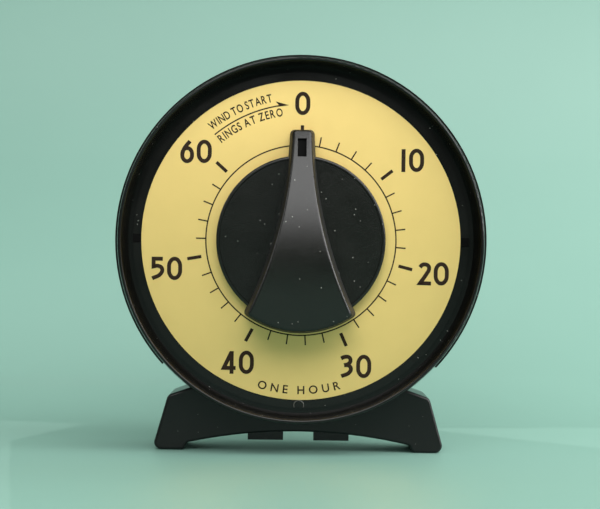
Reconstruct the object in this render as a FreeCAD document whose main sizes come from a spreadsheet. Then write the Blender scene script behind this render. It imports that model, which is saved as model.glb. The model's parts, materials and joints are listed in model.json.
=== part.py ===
import FreeCAD, Part
import math
import os
import re

import Sketcher
from FreeCAD import Placement, Rotation, Vector

# A wind-up sixty minute kitchen timer. Each piece is drawn about the dial's axis:
# x to the right, y up and z towards the person who reads the dial, with z = 0 on
# the dial's face. It is then turned so that +Z is up and the dial faces -Y.

SIZES = {
    # dial and its seat
    "dial_radius": 45.0,
    "dial_thickness": 0.5,
    "dial_hole_radius": 4.8,
    "dial_gap": 0.1,
    "tab_width": 1.8,
    "tab_reach": 0.5,
    "tab_drop": 1.0,
    "notch_gap": 0.3,
    # front shell
    "ring_width": 2.2,
    "trough_width": 1.5,
    "trough_depth": 1.2,
    "wall_lean": 1.3,
    "lip_width": 1.0,
    "lip_height": 7.0,
    "lip_round": 0.45,
    "seam_lean": 1.4,
    "seam_depth": 6.0,
    "floor_thickness": 2.5,
    "skirt_length": 4.0,
    "case_wall": 2.0,
    "fit_gap": 0.1,
    "pip_radius": 0.9,
    "pip_height": 0.15,
    # rear cover
    "case_depth": 42.0,
    "cover_draft": 2.2,
    "cover_round": 3.0,
    "band_proud": 0.5,
    "band_width": 5.0,
    "band_open_angle": 95.0,
    "slot_width": 3.0,
    "slot_length": 16.0,
    "slot_middle": 26.0,
    "slot_count": 8,
    "lug_inner": 4.4,
    "lug_outer": 14.7,
    "lug_thickness": 2.4,
    "lug_depth": 19.0,
    "lug_clearance": 2.2,
    # stand
    "axis_height": 60.3,
    "stand_front": 7.5,
    "stand_depth": 22.0,
    "stand_wall": 1.6,
    "foot_outer": 41.9,
    "foot_inner": 32.9,
    "foot_step": 1.1,
    "foot_step_rise": 2.0,
    "arch_rise": 5.5,
    "arch_web": 2.2,
    "shoulder_half": 37.5,
    "shoulder_rise": 15.6,
    "shoulder_top_half": 25.0,
    "shoulder_top_rise": 20.0,
    "stand_round": 0.8,
    "thin_share": 0.4,
    "core_lean": 0.16,
    "core_near": 4.0,
    "core_shoulder": 6.0,
    "foot_round": 2.0,
    "foot_inner_round": 0.9,
    "arch_round": 1.2,
    # knob
    "knob_lift": 1.0,
    "disc_radius": 23.7,
    "disc_top": 5.0,
    "disc_rim": 0.9,
    "disc_dish": 0.15,
    "disc_round": 0.6,
    "tip_half": 3.4,
    "tip_reach": 31.1,
    "heel_half": 15.95,
    "heel_radius": 26.2,
    "side_radius": 130.0,
    "grip_draft": 4.0,
    "crown_peak": 20.0,
    "crown_spare": 2.0,
    "crown_drop": 8.0,
    "crown_radius": 75.0,
    "grip_corner": 1.3,
    "grip_round": 1.0,
    "index_width": 2.5,
    "index_start": 22.9,
    "index_end": 28.1,
    "index_depth": 0.9,
    "bore_depth": 13.0,
    "flat_depth": 0.8,
    "hollow_inner": 6.5,
    "hollow_outer": 21.0,
    "hollow_height": 2.0,
    # plates and what joins them
    "boss_height": 3.0,
    "boss_radius": 3.0,
    "boss_circle": 34.0,
    "boss_angle": 20.0,
    "plate_radius": 37.5,
    "plate_thickness": 1.2,
    "plate_spacing": 19.8,
    "pillar_radius": 2.2,
    "pillar_circle": 34.0,
    "pillar_angle": 80.0,
    "pillar_tenon": 1.4,
    "nut_radius": 2.8,
    "nut_height": 1.6,
    "post_radius": 3.0,
    "post_circle": 43.6,
    "post_angle": 50.0,
    "screw_radius": 1.2,
    "screw_gap": 0.05,
    "screw_head_radius": 2.6,
    "screw_head_height": 1.4,
    "screw_slot_width": 0.6,
    "screw_slot_depth": 0.6,
    "screw_bite": 8.0,
    "screw_short": 1.0,
    "screw_count": 3,
    "well_depth": 2.0,
    "well_gap": 0.4,
    # main arbor and mainspring
    "arbor_radius": 3.0,
    "arbor_pivot_radius": 2.0,
    "arbor_collar_radius": 4.2,
    "pivot_gap": 0.04,
    "pivot_end": 0.2,
    "rub_gap": 0.1,
    "arbor_tail": 0.8,
    "collar_height": 0.8,
    "bush_radius": 4.4,
    "bush_flange_radius": 6.0,
    "bush_flange_height": 0.8,
    "barrel_radius": 16.0,
    "barrel_wall": 0.8,
    "barrel_height": 7.0,
    "barrel_bore_gap": 0.5,
    "spring_start": 1.0,
    "spring_strip": 0.4,
    "spring_height": 6.0,
    "spring_pitch": 1.4,
    "spring_turns": 7,
    # train
    "great_teeth": 80,
    "second_teeth": 80,
    "third_teeth": 70,
    "pinion_leaves": 10,
    "great_module": 0.45,
    "second_module": 0.36,
    "third_module": 0.32,
    "wheel_thickness": 1.0,
    "pinion_overhang": 0.4,
    "great_level": 9.6,
    "second_level": 6.4,
    "third_level": 4.4,
    "escape_level": 2.4,
    "second_angle": 150.0,
    "third_angle": 40.0,
    "escape_angle": -10.0,
    "train_arbor_radius": 0.9,
    "train_pivot_radius": 0.5,
    "spoke_count": 4,
    "spoke_width": 2.4,
    "rim_width": 1.8,
    "hub_width": 1.6,
    # ratchet, click and ring star
    "ratchet_radius": 7.0,
    "ratchet_teeth": 16,
    "ratchet_tooth": 1.1,
    "click_circle": 12.5,
    "click_angle": 200.0,
    "click_stud_radius": 0.8,
    "click_nose": 0.5,
    "click_offset": 45.0,
    "click_eye": 0.8,
    "stud_head_width": 0.6,
    "stud_head_height": 0.8,
    "tooth_gap": 0.15,
    "star_radius": 9.0,
    "star_tooth": 1.6,
    "star_points": 24,
    "tooth_flat": 0.06,
    # escapement
    "escape_points": 15,
    "escape_radius": 7.0,
    "escape_tooth": 1.8,
    "escape_lead": 0.15,
    "verge_distance": 10.4,
    "verge_angle": -5.0,
    "verge_clearance": 0.55,
    "verge_arm": 1.8,
    "pallet_spread": 42.0,
    "inertia_half": 6.8,
    "inertia_width": 2.4,
    "inertia_level": 15.4,
    "inertia_turn": 60.0,
    # bell and hammer
    "bell_radius": 22.0,
    "bell_depth": 8.0,
    "bell_wall": 1.0,
    "bell_drop": 12.0,
    "bell_lift": 1.6,
    "bell_crown_share": 0.45,
    "bell_curve_share": 0.9,
    "bell_post_radius": 2.5,
    "hammer_x": 24.0,
    "hammer_y": 3.0,
    "hammer_head_radius": 2.2,
    "hammer_gap": 0.7,
    "hammer_head_angle": 10.0,
    "lever_width": 2.2,
    "lever_thickness": 0.8,
    "arm_gap": 0.3,
    "tail_lift": 0.2,
    "tail_gap": 0.35,
    "tail_turn": 6.0,
    "coil_gap": 0.1,
    "coil_width": 0.6,
    "coil_length": 5.0,
    # trip cam and lever
    "trip_level": 1.3,
    "trip_radius": 6.0,
    "trip_notch": 1.6,
    "trip_slack": 0.8,
    "trip_width": 1.6,
    "trip_elbow": 2.4,
    "trip_eye": 0.6,
    "trip_stud_x": 20.0,
    "trip_stud_y": -8.5,
    "trip_gap": 0.25,
}

doc = FreeCAD.newDocument("timer")
sheet = doc.addObject("Spreadsheet::Sheet", "sizes")
for row, (alias, number) in enumerate(SIZES.items(), start=1):
    sheet.set(f"A{row}", alias)
    sheet.set(f"B{row}", str(number))
    sheet.setAlias(f"B{row}", alias)
doc.recompute()


def named(text):
    """The text with the sheet's name before each alias, as an expression needs it."""
    return re.sub(r"[a-z][a-z_]+", lambda m: f"sizes.{m[0]}" if m[0] in SIZES else m[0], str(text))


def value(text):
    """The number that an expression in the sheet's aliases comes to."""
    result = sheet.evalExpression(named(text))
    return float(result.Value if hasattr(result, "Value") else result)


def cosine(angle):
    return f"cos(({angle}) * 1 deg)"


def sine(angle):
    return f"sin(({angle}) * 1 deg)"


# Places that several pieces share, as expressions in the sheet's aliases

ring_inner = "(dial_radius + dial_gap)"
ring_outer = f"({ring_inner} + ring_width)"
trough_outer = f"({ring_outer} + trough_width)"
lip_inner = f"({trough_outer} + wall_lean)"
lip_outer = f"({lip_inner} + lip_width)"
seam_radius = f"({lip_outer} + seam_lean)"
cover_inner = f"({seam_radius} - case_wall)"
skirt_outer = f"({cover_inner} - fit_gap)"
skirt_inner = f"({skirt_outer} - case_wall)"
floor_back = "(-dial_thickness - floor_thickness)"
plate_front = f"({floor_back} - boss_height)"
inner_front = f"({plate_front} - plate_thickness)"
inner_rear = f"({inner_front} - plate_spacing)"
plate_back = f"({inner_rear} - plate_thickness)"
cover_floor = "(case_wall - case_depth)"
well_floor = "(well_depth - case_depth)"
post_end = f"({cover_floor} + well_depth)"
great_front = f"({inner_front} - great_level)"
great_back = f"({great_front} - wheel_thickness)"
ratchet_back = f"({great_back} - wheel_thickness)"
star_front = f"({great_front} + wheel_thickness)"
bell_back = f"({plate_back} - bell_lift - bell_depth)"
middle_depth = "((crown_peak - case_depth) / 2)"
under_case = f"(axis_height - {seam_radius})"
arch_height = f"({under_case} * arch_rise / (arch_rise + arch_web))"
step_height = f"({under_case} * foot_step_rise / (arch_rise + arch_web))"

second_distance = "(great_module * (great_teeth + pinion_leaves) / 2)"
third_distance = "(second_module * (second_teeth + pinion_leaves) / 2)"
escape_distance = "(third_module * (third_teeth + pinion_leaves) / 2)"
second_x = f"({second_distance} * {cosine('second_angle')})"
second_y = f"({second_distance} * {sine('second_angle')})"
third_x = f"({second_x} + {third_distance} * {cosine('third_angle')})"
third_y = f"({second_y} + {third_distance} * {sine('third_angle')})"
escape_x = f"({third_x} + {escape_distance} * {cosine('escape_angle')})"
escape_y = f"({third_y} + {escape_distance} * {sine('escape_angle')})"
verge_x = f"({escape_x} + verge_distance * {cosine('verge_angle')})"
verge_y = f"({escape_y} + verge_distance * {sine('verge_angle')})"


# Ways of making pieces


def plane(body, role):
    return next(item for item in body.Origin.OriginFeatures if item.Role == role)


def new_body(label):
    return doc.addObject("PartDesign::Body", label)


def add_edge(sketch, step, start, end):
    """A line, or an arc that bulges to the left or right of its run; gives its index and end vertices."""
    if len(step) == 2:
        return sketch.addGeometry(Part.LineSegment(start, end), False), 1, 2
    radius, side = value(step[2]), step[3]
    chord = end - start
    reach = math.sqrt(max(radius ** 2 - (chord.Length / 2) ** 2, 0))
    across = Vector(-chord.y, chord.x, 0).normalize() * reach
    centre = (start + end) / 2 + (across if side == "right" else -across)
    first, last = (start, end) if side == "right" else (end, start)
    angles = [math.atan2(point.y - centre.y, point.x - centre.x) for point in (first, last)]
    arc = Part.ArcOfCircle(Part.Circle(centre, Vector(0, 0, 1), radius), *angles)
    index = sketch.addGeometry(arc, False)
    constraint = sketch.addConstraint(Sketcher.Constraint("Radius", index, radius))
    sketch.setExpression(f"Constraints[{constraint}]", named(step[2]))
    return (index, 1, 2) if side == "right" else (index, 2, 1)


def pin_point(sketch, index, vertex, x, y):
    """Hold one vertex of a sketch at the place that two expressions give."""
    for kind, text in (("DistanceX", x), ("DistanceY", y)):
        constraint = sketch.addConstraint(Sketcher.Constraint(kind, -1, 1, index, vertex, value(text)))
        sketch.setExpression(f"Constraints[{constraint}]", named(text))


def add_loop(sketch, path):
    """A closed outline: each step is x, y and, where an arc follows, its radius and bulge."""
    points = [Vector(value(step[0]), value(step[1]), 0) for step in path]
    edges = []
    for i, step in enumerate(path):
        edges.append(add_edge(sketch, step, points[i], points[(i + 1) % len(path)]))
    for i, (index, first, last) in enumerate(edges):
        following = edges[(i + 1) % len(edges)]
        sketch.addConstraint(Sketcher.Constraint("Coincident", index, last, following[0], following[1]))
        pin_point(sketch, index, first, path[i][0], path[i][1])


def round_ended(start, end, width):
    """The outline of a slot or a flat lever along x, its ends made of quarter circles."""
    half = f"(({width}) / 2)"
    return [
        (start, half, half, "right"),
        (f"({start}) - {half}", "0", half, "right"),
        (start, f"-{half}"),
        (end, f"-{half}", half, "right"),
        (f"({end}) + {half}", "0", half, "right"),
        (end, half),
    ]


def add_circle(sketch, x, y, radius):
    circle = Part.Circle(Vector(value(x), value(y), 0), Vector(0, 0, 1), value(radius))
    index = sketch.addGeometry(circle, False)
    constraint = sketch.addConstraint(Sketcher.Constraint("Radius", index, value(radius)))
    sketch.setExpression(f"Constraints[{constraint}]", named(radius))
    pin_point(sketch, index, 3, x, y)


def draw(body, role, loops=(), circles=(), lift="0"):
    """A sketch on one of the body's own planes, moved along the plane's normal by lift."""
    sketch = body.newObject("Sketcher::SketchObject", f"{body.Label}_sketch")
    sketch.AttachmentSupport = [(plane(body, role), "")]
    sketch.MapMode = "FlatFace"
    sketch.setExpression("AttachmentOffset.Base.z", named(lift))
    for path in loops:
        add_loop(sketch, path)
    for circle in circles:
        add_circle(sketch, *circle)
    return sketch


def revolve(body, path, kind="Revolution", angle="360", role="XZ_Plane", middle=False):
    """The half section given as (radius, z) steps, turned about the dial's axis."""
    feature = body.newObject(f"PartDesign::{kind}", f"{body.Label}_{kind.lower()}")
    feature.Profile = draw(body, role, [path])
    feature.ReferenceAxis = (feature.Profile[0], ["V_Axis"])
    feature.Midplane = middle
    feature.setExpression("Angle", named(angle))
    return feature


def pad(body, sketch, length, taper="0"):
    feature = body.newObject("PartDesign::Pad", f"{body.Label}_pad")
    feature.Profile = sketch
    feature.setExpression("Length", named(length))
    feature.setExpression("TaperAngle", named(taper))
    return feature


def cut_back(body, sketch, depth):
    """Cut from the sketch's plane towards the back of the timer, and see that it removed something."""
    return remove(body, sketch, depth, False)


def cut_front(body, sketch, depth):
    return remove(body, sketch, depth, True)


def remove(body, sketch, depth, to_front, both_ways=False):
    doc.recompute()
    before = body.Shape.Volume
    feature = body.newObject("PartDesign::Pocket", f"{body.Label}_pocket")
    feature.Profile = sketch
    feature.Reversed = to_front
    if both_ways:
        feature.SideType = "Symmetric"
    feature.setExpression("Length", named(depth))
    doc.recompute()
    if not body.Shape.Volume < before:
        raise ValueError(f"a pocket in {body.Label} cuts nothing")
    return feature


def repeat(body, originals, count):
    """Copies of features, evenly round the dial's axis."""
    feature = body.newObject("PartDesign::PolarPattern", f"{body.Label}_pattern")
    feature.Originals = originals
    feature.Axis = (plane(body, "Z_Axis"), [""])
    feature.Angle = 360
    feature.setExpression("Occurrences", named(count))
    body.Tip = feature
    return feature


def fillet(body, radius, wanted):
    """Round the edges of the body for which wanted(edge) is true."""
    doc.recompute()
    base = body.Tip
    names = [f"Edge{i}" for i, edge in enumerate(base.Shape.Edges, start=1) if wanted(edge)]
    feature = body.newObject("PartDesign::Fillet", f"{body.Label}_fillet")
    feature.Base = (base, names)
    feature.setExpression("Radius", named(radius))
    body.Tip = feature
    return feature


def seat(piece, x="0", y="0", z="0", turn="0"):
    """Stand a piece up, with its own axis at x, y on the dial's face, turned about that axis."""
    upright = Rotation(Vector(1, 0, 0), 90)
    piece.Placement = Placement(Vector(), upright * Rotation(Vector(0, 0, 1), value(turn)))
    piece.setExpression("Placement.Base.x", named(x))
    piece.setExpression("Placement.Base.y", named(f"{middle_depth} - ({z})"))
    piece.setExpression("Placement.Base.z", named(f"axis_height + ({y})"))
    return piece


def turned(label, path, x="0", y="0", turn="0"):
    body = new_body(label)
    revolve(body, path)
    return seat(body, x, y, "0", turn)


def washer(label, inner, outer, back, front, x="0", y="0"):
    return turned(label, [(inner, back), (outer, back), (outer, front), (inner, front)], x, y)


def stepped(label, steps, x="0", y="0", turn="0"):
    """A turned shaft: (radius, z where the step ends) from its back end to its front end."""
    path = [("0", steps[0][1])]
    for (radius, end), (_, start) in zip(steps[1:], steps):
        path += [(radius, start), (radius, end)]
    path.append(("0", steps[-1][1]))
    return turned(label, path, x, y, turn)


def lever(label, length, width, back, thickness, hole, x, y, turn, tail="0"):
    """A flat lever with round ends, from its pivot hole out along its own x."""
    body = new_body(label)
    loop = round_ended(f"-({tail})", length, width)
    pad(body, draw(body, "XY_Plane", [loop], [("0", "0", hole)], back), thickness)
    return seat(body, x, y, "0", turn)


def part_piece(label, shape, x="0", y="0", turn="0"):
    piece = doc.addObject("Part::Feature", label)
    piece.Shape = shape
    return seat(piece, x, y, "0", turn)


# Case


def cover_radius(depth):
    """Outer radius of the tapering rear cover at a depth behind the dial."""
    return f"({seam_radius} - cover_draft * (({depth}) - seam_depth) / (case_depth - seam_depth))"


def front_shell():
    body = new_body("front_shell")
    bore = "bush_radius"
    revolve(body, [
        (bore, floor_back),
        (skirt_inner, floor_back),
        (skirt_inner, "-(seam_depth + skirt_length)"),
        (skirt_outer, "-(seam_depth + skirt_length)"),
        (skirt_outer, "-seam_depth"),
        (seam_radius, "-seam_depth"),
        (lip_outer, "lip_height - lip_round", "lip_round", "right"),
        (f"{lip_outer} - lip_round", "lip_height"),
        (f"{lip_inner} + lip_round", "lip_height", "lip_round", "right"),
        (lip_inner, "lip_height - lip_round"),
        (trough_outer, "-trough_depth"),
        (ring_outer, "-trough_depth"),
        (ring_outer, "0"),
        (ring_inner, "0"),
        (ring_inner, "-dial_thickness"),
        (bore, "-dial_thickness"),
    ])
    half = "(tab_width / 2 + notch_gap)"
    for side in (1, -1):
        inner, outer = f"{side} * ({ring_inner} - notch_gap)", f"{side} * {ring_outer}"
        notch = [(inner, f"-{half}"), (outer, f"-{half}"), (outer, half), (inner, half)]
        cut_back(body, draw(body, "XY_Plane", [notch]), "dial_thickness + tab_drop + notch_gap")
    pad(body, draw(body, "XY_Plane", circles=[("0", f"-({ring_inner} + ring_width / 2)", "pip_radius")]),
        "pip_height")
    post_x = f"post_circle * {cosine('post_angle')}"
    post_y = f"post_circle * {sine('post_angle')}"
    post = pad(body, draw(body, "XY_Plane", circles=[(post_x, post_y, "post_radius")], lift=post_end),
               f"{floor_back} - {post_end}")
    repeat(body, [post], "screw_count")
    boss_x = f"boss_circle * {cosine('boss_angle')}"
    boss_y = f"boss_circle * {sine('boss_angle')}"
    boss = pad(body, draw(body, "XY_Plane", circles=[(boss_x, boss_y, "boss_radius")], lift=plate_front),
               "boss_height")
    repeat(body, [boss], "screw_count")
    bite = "screw_radius + screw_gap"
    deep = cut_front(body, draw(body, "XY_Plane", circles=[(post_x, post_y, bite)], lift=post_end),
                     "screw_bite")
    repeat(body, [deep], "screw_count")
    short = cut_front(body, draw(body, "XY_Plane", circles=[(boss_x, boss_y, bite)], lift=plate_front),
                      "boss_height + screw_gap")
    repeat(body, [short], "screw_count")
    return seat(body)


def dial_plate():
    body = new_body("dial_plate")
    disc = [("dial_radius", "-dial_thickness"), ("dial_radius", "0"),
            ("dial_hole_radius", "0"), ("dial_hole_radius", "-dial_thickness")]
    revolve(body, disc)
    half = "(tab_width / 2)"
    for side in (1, -1):
        root, end = f"{side} * (dial_radius - 1)", f"{side} * (dial_radius + tab_reach)"
        bend = f"{side} * (dial_radius + tab_reach - dial_thickness)"
        flat = [(root, f"-{half}"), (end, f"-{half}"), (end, half), (root, half)]
        pad(body, draw(body, "XY_Plane", [flat], lift="-dial_thickness"), "dial_thickness")
        down = [(bend, f"-{half}"), (end, f"-{half}"), (end, half), (bend, half)]
        pad(body, draw(body, "XY_Plane", [down], lift="-dial_thickness - tab_drop"), "tab_drop")
    return seat(body)


def rear_cover():
    body = new_body("rear_cover")
    back_radius = cover_radius("case_depth")
    floor_radius = f"({back_radius} - case_wall)"
    revolve(body, [
        ("0", "-case_depth"),
        (f"{back_radius} - cover_round", "-case_depth", "cover_round", "right"),
        (cover_radius("case_depth - cover_round"), "-(case_depth - cover_round)"),
        (seam_radius, "-seam_depth"),
        (cover_inner, "-seam_depth"),
        (cover_inner, "-(seam_depth + skirt_length)"),
        (floor_radius, cover_floor),
        ("0", cover_floor),
    ])
    band = [
        (f"{seam_radius} - case_wall / 2", "-seam_depth"),
        (f"{seam_radius} - case_wall / 2", "-(seam_depth + band_width)"),
        (f"{seam_radius} + band_proud", "-(seam_depth + band_width)"),
        (f"{seam_radius} + band_proud", "-seam_depth"),
    ]
    revolve(body, band, angle="360 - band_open_angle", role="YZ_Plane", middle=True)
    slot = round_ended("slot_middle - slot_length / 2", "slot_middle + slot_length / 2", "slot_width")
    slots = cut_front(body, draw(body, "XY_Plane", [slot], lift="-case_depth"), "case_wall")
    repeat(body, [slots], "slot_count")
    x = f"post_circle * {cosine('post_angle')}"
    y = f"post_circle * {sine('post_angle')}"
    well = "(screw_head_radius + well_gap)"
    boss = pad(body, draw(body, "XY_Plane", circles=[(x, y, f"{well} + case_wall / 2")], lift=cover_floor),
               "well_depth")
    repeat(body, [boss], "screw_count")
    sink = cut_front(body, draw(body, "XY_Plane", circles=[(x, y, well)], lift="-case_depth"), "well_depth")
    repeat(body, [sink], "screw_count")
    hole = cut_front(body, draw(body, "XY_Plane", circles=[(x, y, "screw_radius + screw_gap")],
                                lift=well_floor), "case_wall")
    repeat(body, [hole], "screw_count")
    for side in (1, -1):
        lug = [
            (f"{side} * lug_inner", f"-{cover_radius('lug_depth')} + case_wall"),
            (f"{side} * lug_outer", f"-{cover_radius('lug_depth')} + 2 * case_wall"),
            (f"{side} * lug_outer", "lug_clearance - axis_height"),
            (f"{side} * lug_inner", "lug_clearance - axis_height"),
        ]
        pad(body, draw(body, "XY_Plane", [lug], lift="-lug_depth"), "lug_thickness")
    return seat(body)


def stand():
    body = new_body("stand")
    ground = "(-axis_height)"
    step = "(foot_inner - foot_step)"
    bow = f"({arch_height} - {step_height})"
    arch = f"(({step} ^ 2 + {bow} ^ 2) / (2 * {bow}))"
    outline = [
        ("-foot_outer", ground),
        ("-foot_inner", ground),
        (f"-{step}", f"{ground} + {step_height}", arch, "left"),
        (step, f"{ground} + {step_height}"),
        ("foot_inner", ground),
        ("foot_outer", ground),
        ("shoulder_half", f"{ground} + shoulder_rise"),
        ("shoulder_top_half", f"{ground} + shoulder_top_rise"),
        ("-shoulder_top_half", f"{ground} + shoulder_top_rise"),
        ("-shoulder_half", f"{ground} + shoulder_rise"),
    ]
    pad(body, draw(body, "XY_Plane", [outline], lift="-(stand_front + stand_depth)"), "stand_depth")
    back = "(stand_front + stand_depth + 1)"
    seat_back = f"({cover_radius(back)} + fit_gap)"
    seat_front = f"({cover_radius('stand_front - 1')} + fit_gap)"
    revolve(body, [("0", f"-{back}"), (seat_back, f"-{back}"),
                   (seat_front, "1 - stand_front"), ("0", "1 - stand_front")], "Groove")
    doc.recompute()

    def upright(edge):
        return min(edge.Length, edge.BoundBox.ZLength) > value("stand_depth - fit_gap")

    def foot_or_shoulder(edge):
        box = edge.BoundBox
        return upright(edge) and box.XLength < 0.01 and abs(box.XMin) > value("foot_inner + 1")

    def upright_at(x):
        return lambda edge: upright(edge) and abs(abs(edge.Vertexes[0].X) - value(x)) < value("fit_gap")

    fillet(body, "foot_round", foot_or_shoulder)
    fillet(body, "foot_inner_round", upright_at("foot_inner"))
    fillet(body, "arch_round", upright_at(step))

    def on_front(edge):
        middle = edge.valueAt((edge.FirstParameter + edge.LastParameter) / 2)
        saddle = math.hypot(middle.x, middle.y) < value(f"{seat_front} + fit_gap")
        return edge.BoundBox.ZMin > value("-stand_front") - 0.01 and not saddle

    fillet(body, f"min(stand_round; ({under_case} - {arch_height} - fit_gap) * thin_share)", on_front)
    for side in (1, -1):
        remove_foot_core(body, side)
        slot = [
            (f"{side} * (lug_inner - fit_gap)", "-axis_height"),
            (f"{side} * (lug_outer + fit_gap)", "-axis_height"),
            (f"{side} * (lug_outer + fit_gap)", "shoulder_top_rise - axis_height"),
            (f"{side} * (lug_inner - fit_gap)", "shoulder_top_rise - axis_height"),
        ]
        cut_front(body, draw(body, "XY_Plane", [slot], lift="-lug_depth - fit_gap"),
                  "lug_thickness + 2 * fit_gap")
    return seat(body)


def remove_foot_core(body, side):
    """Hollow one foot from behind, leaving the stand's wall all round it."""
    ground = "(stand_wall - axis_height)"
    outer = "(foot_outer - stand_wall - core_lean)"
    inner = "(foot_inner + stand_wall)"
    shoulder = "(shoulder_half - stand_wall - core_lean)"
    near = "(lug_outer + core_near)"
    far = "(shoulder_top_half + core_shoulder)"
    saddle = f"({cover_radius('stand_front')} + fit_gap + stand_wall)"
    arch_top = f"({arch_height} + stand_wall - axis_height)"
    core = [
        (f"{side} * {inner}", ground),
        (f"{side} * {outer}", ground),
        (f"{side} * {shoulder}", "shoulder_rise - stand_wall - axis_height"),
        (f"{side} * {far}", f"-sqrt({saddle} ^ 2 - {far} ^ 2)", saddle, "right" if side == 1 else "left"),
        (f"{side} * {near}", f"-sqrt({saddle} ^ 2 - {near} ^ 2)"),
        (f"{side} * {near}", arch_top),
        (f"{side} * (foot_inner - foot_step)", f"{step_height} + stand_wall - axis_height"),
    ]
    cut_front(body, draw(body, "XY_Plane", [core], lift="-(stand_front + stand_depth)"),
              "stand_depth - stand_wall")


# Knob


def knob():
    body = new_body("knob")
    revolve(body, [
        ("0", "knob_lift"),
        ("disc_radius - disc_round", "knob_lift"),
        ("disc_radius", "knob_lift + disc_round"),
        ("disc_radius", "disc_top - disc_round", "disc_round", "right"),
        ("disc_radius - disc_round", "disc_top"),
        ("disc_radius - disc_rim", "disc_top"),
        ("disc_radius - disc_rim - disc_dish", "disc_top - disc_dish"),
        ("0", "disc_top - disc_dish"),
    ])
    heel = "(-sqrt(heel_radius ^ 2 - heel_half ^ 2))"
    outline = [
        ("-tip_half", "tip_reach", "side_radius", "left"),
        ("-heel_half", heel, "heel_radius", "right"),
        ("heel_half", heel, "side_radius", "left"),
        ("tip_half", "tip_reach"),
    ]
    pad(body, draw(body, "XY_Plane", [outline], lift="knob_lift"), "crown_peak + crown_spare - knob_lift",
        "-grip_draft")

    def corner(edge):
        return edge.BoundBox.ZLength > value("crown_peak / 2")

    fillet(body, "grip_corner", corner)
    low, high = "(heel_radius + 6)", "(tip_reach + 6)"
    over = "(crown_peak + 10)"

    def crown(y):
        return f"(crown_peak - crown_radius + sqrt(crown_radius ^ 2 - ({y} + crown_drop) ^ 2))"

    above = [
        (f"-{low}", crown(f"-{low}"), "crown_radius", "left"),
        (high, crown(high)),
        (high, over),
        (f"-{low}", over),
    ]
    remove(body, draw(body, "YZ_Plane", [above]), "4 * disc_radius", False, both_ways=True)

    def top_edge(edge):
        middle = edge.valueAt((edge.FirstParameter + edge.LastParameter) / 2)
        height = value(crown(str(middle.y)))
        return abs(middle.z - height) < 0.02 and edge.BoundBox.ZLength < value("crown_peak / 2")

    fillet(body, "grip_round", top_edge)
    index = [("index_start", f"{crown('index_start')} - index_depth"),
             ("index_end", f"{crown('index_end')} - index_depth"),
             ("index_end", over), ("index_start", over)]
    remove(body, draw(body, "YZ_Plane", [index]), "index_width", False, both_ways=True)
    bore = "(arbor_radius + pivot_gap)"
    flat = "(arbor_radius - flat_depth + pivot_gap)"
    half = f"sqrt({bore} ^ 2 - {flat} ^ 2)"
    socket = [(half, flat), (f"-{half}", flat, bore, "right"), ("0", f"-{bore}", bore, "right")]
    cut_front(body, draw(body, "XY_Plane", [socket], lift="knob_lift"), "bore_depth")
    hollow = draw(body, "XY_Plane", circles=[("0", "0", "hollow_inner"), ("0", "0", "hollow_outer")],
                  lift="knob_lift")
    cut_front(body, hollow, "hollow_height")
    return seat(body)


# Screws and the movement's frame


def screws(label, circle, angle, head_back, shank_front):
    """Three slotted screws round the dial's axis, driven from the back."""
    body = new_body(label)
    x = f"({circle} * {cosine(angle)})"
    y = f"({circle} * {sine(angle)})"
    head = pad(body, draw(body, "XY_Plane", circles=[(x, y, "screw_head_radius")], lift=head_back),
               "screw_head_height")
    head_front = f"({head_back} + screw_head_height)"
    shank = pad(body, draw(body, "XY_Plane", circles=[(x, y, "screw_radius")], lift=head_front),
                f"{shank_front} - {head_front}")
    half = "(screw_slot_width / 2)"
    slot = [(f"{x} - screw_head_radius", f"{y} - {half}"), (f"{x} + screw_head_radius", f"{y} - {half}"),
            (f"{x} + screw_head_radius", f"{y} + {half}"), (f"{x} - screw_head_radius", f"{y} + {half}")]
    groove = cut_front(body, draw(body, "XY_Plane", [slot], lift=head_back), "screw_slot_depth")
    repeat(body, [head, shank, groove], "screw_count")
    return seat(body)


def cover_screws():
    return screws("cover_screws", "post_circle", "post_angle", f"({well_floor} - screw_head_height)",
                  f"({post_end} + screw_bite - screw_short)")


def movement_screws():
    return screws("movement_screws", "boss_circle", "boss_angle", f"({inner_front} - screw_head_height)",
                  f"({floor_back} - screw_gap)")


def movement_plate(label, back, holes):
    """A round brass plate with its pivot holes, given as x, y and radius."""
    body = new_body(label)
    rim = ("0", "0", "plate_radius")
    pad(body, draw(body, "XY_Plane", circles=[rim, *holes], lift=back), "plate_thickness")
    return seat(body)


def pivot_holes():
    """The holes that both plates share: pillars, train arbors, verge and hammer."""
    holes = []
    for turn in ("0", "120", "240"):
        angle = f"pillar_angle + {turn}"
        holes.append((f"pillar_circle * {cosine(angle)}", f"pillar_circle * {sine(angle)}",
                      "pillar_tenon + screw_gap"))
    pivots = [(second_x, second_y), (third_x, third_y), (escape_x, escape_y), (verge_x, verge_y)]
    for x, y in pivots:
        holes.append((x, y, "train_pivot_radius + pivot_gap"))
    return holes


def front_plate():
    holes = [("0", "0", "arbor_radius + pivot_gap"),
             ("hammer_x", "hammer_y", "train_pivot_radius + pivot_gap"),
             ("trip_stud_x", "trip_stud_y", "pillar_tenon + screw_gap")]
    for turn in ("0", "120", "240"):
        angle = f"boss_angle + {turn}"
        holes.append((f"boss_circle * {cosine(angle)}", f"boss_circle * {sine(angle)}",
                      "screw_radius + screw_gap"))
    return movement_plate("front_plate", inner_front, holes + pivot_holes())


def rear_plate():
    holes = [("0", "0", "arbor_pivot_radius + pivot_gap"),
             ("hammer_x", "hammer_y", "train_arbor_radius + pivot_gap"),
             ("0", "-bell_drop", "pillar_tenon + screw_gap")]
    return movement_plate("rear_plate", plate_back, holes + pivot_holes())


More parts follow.
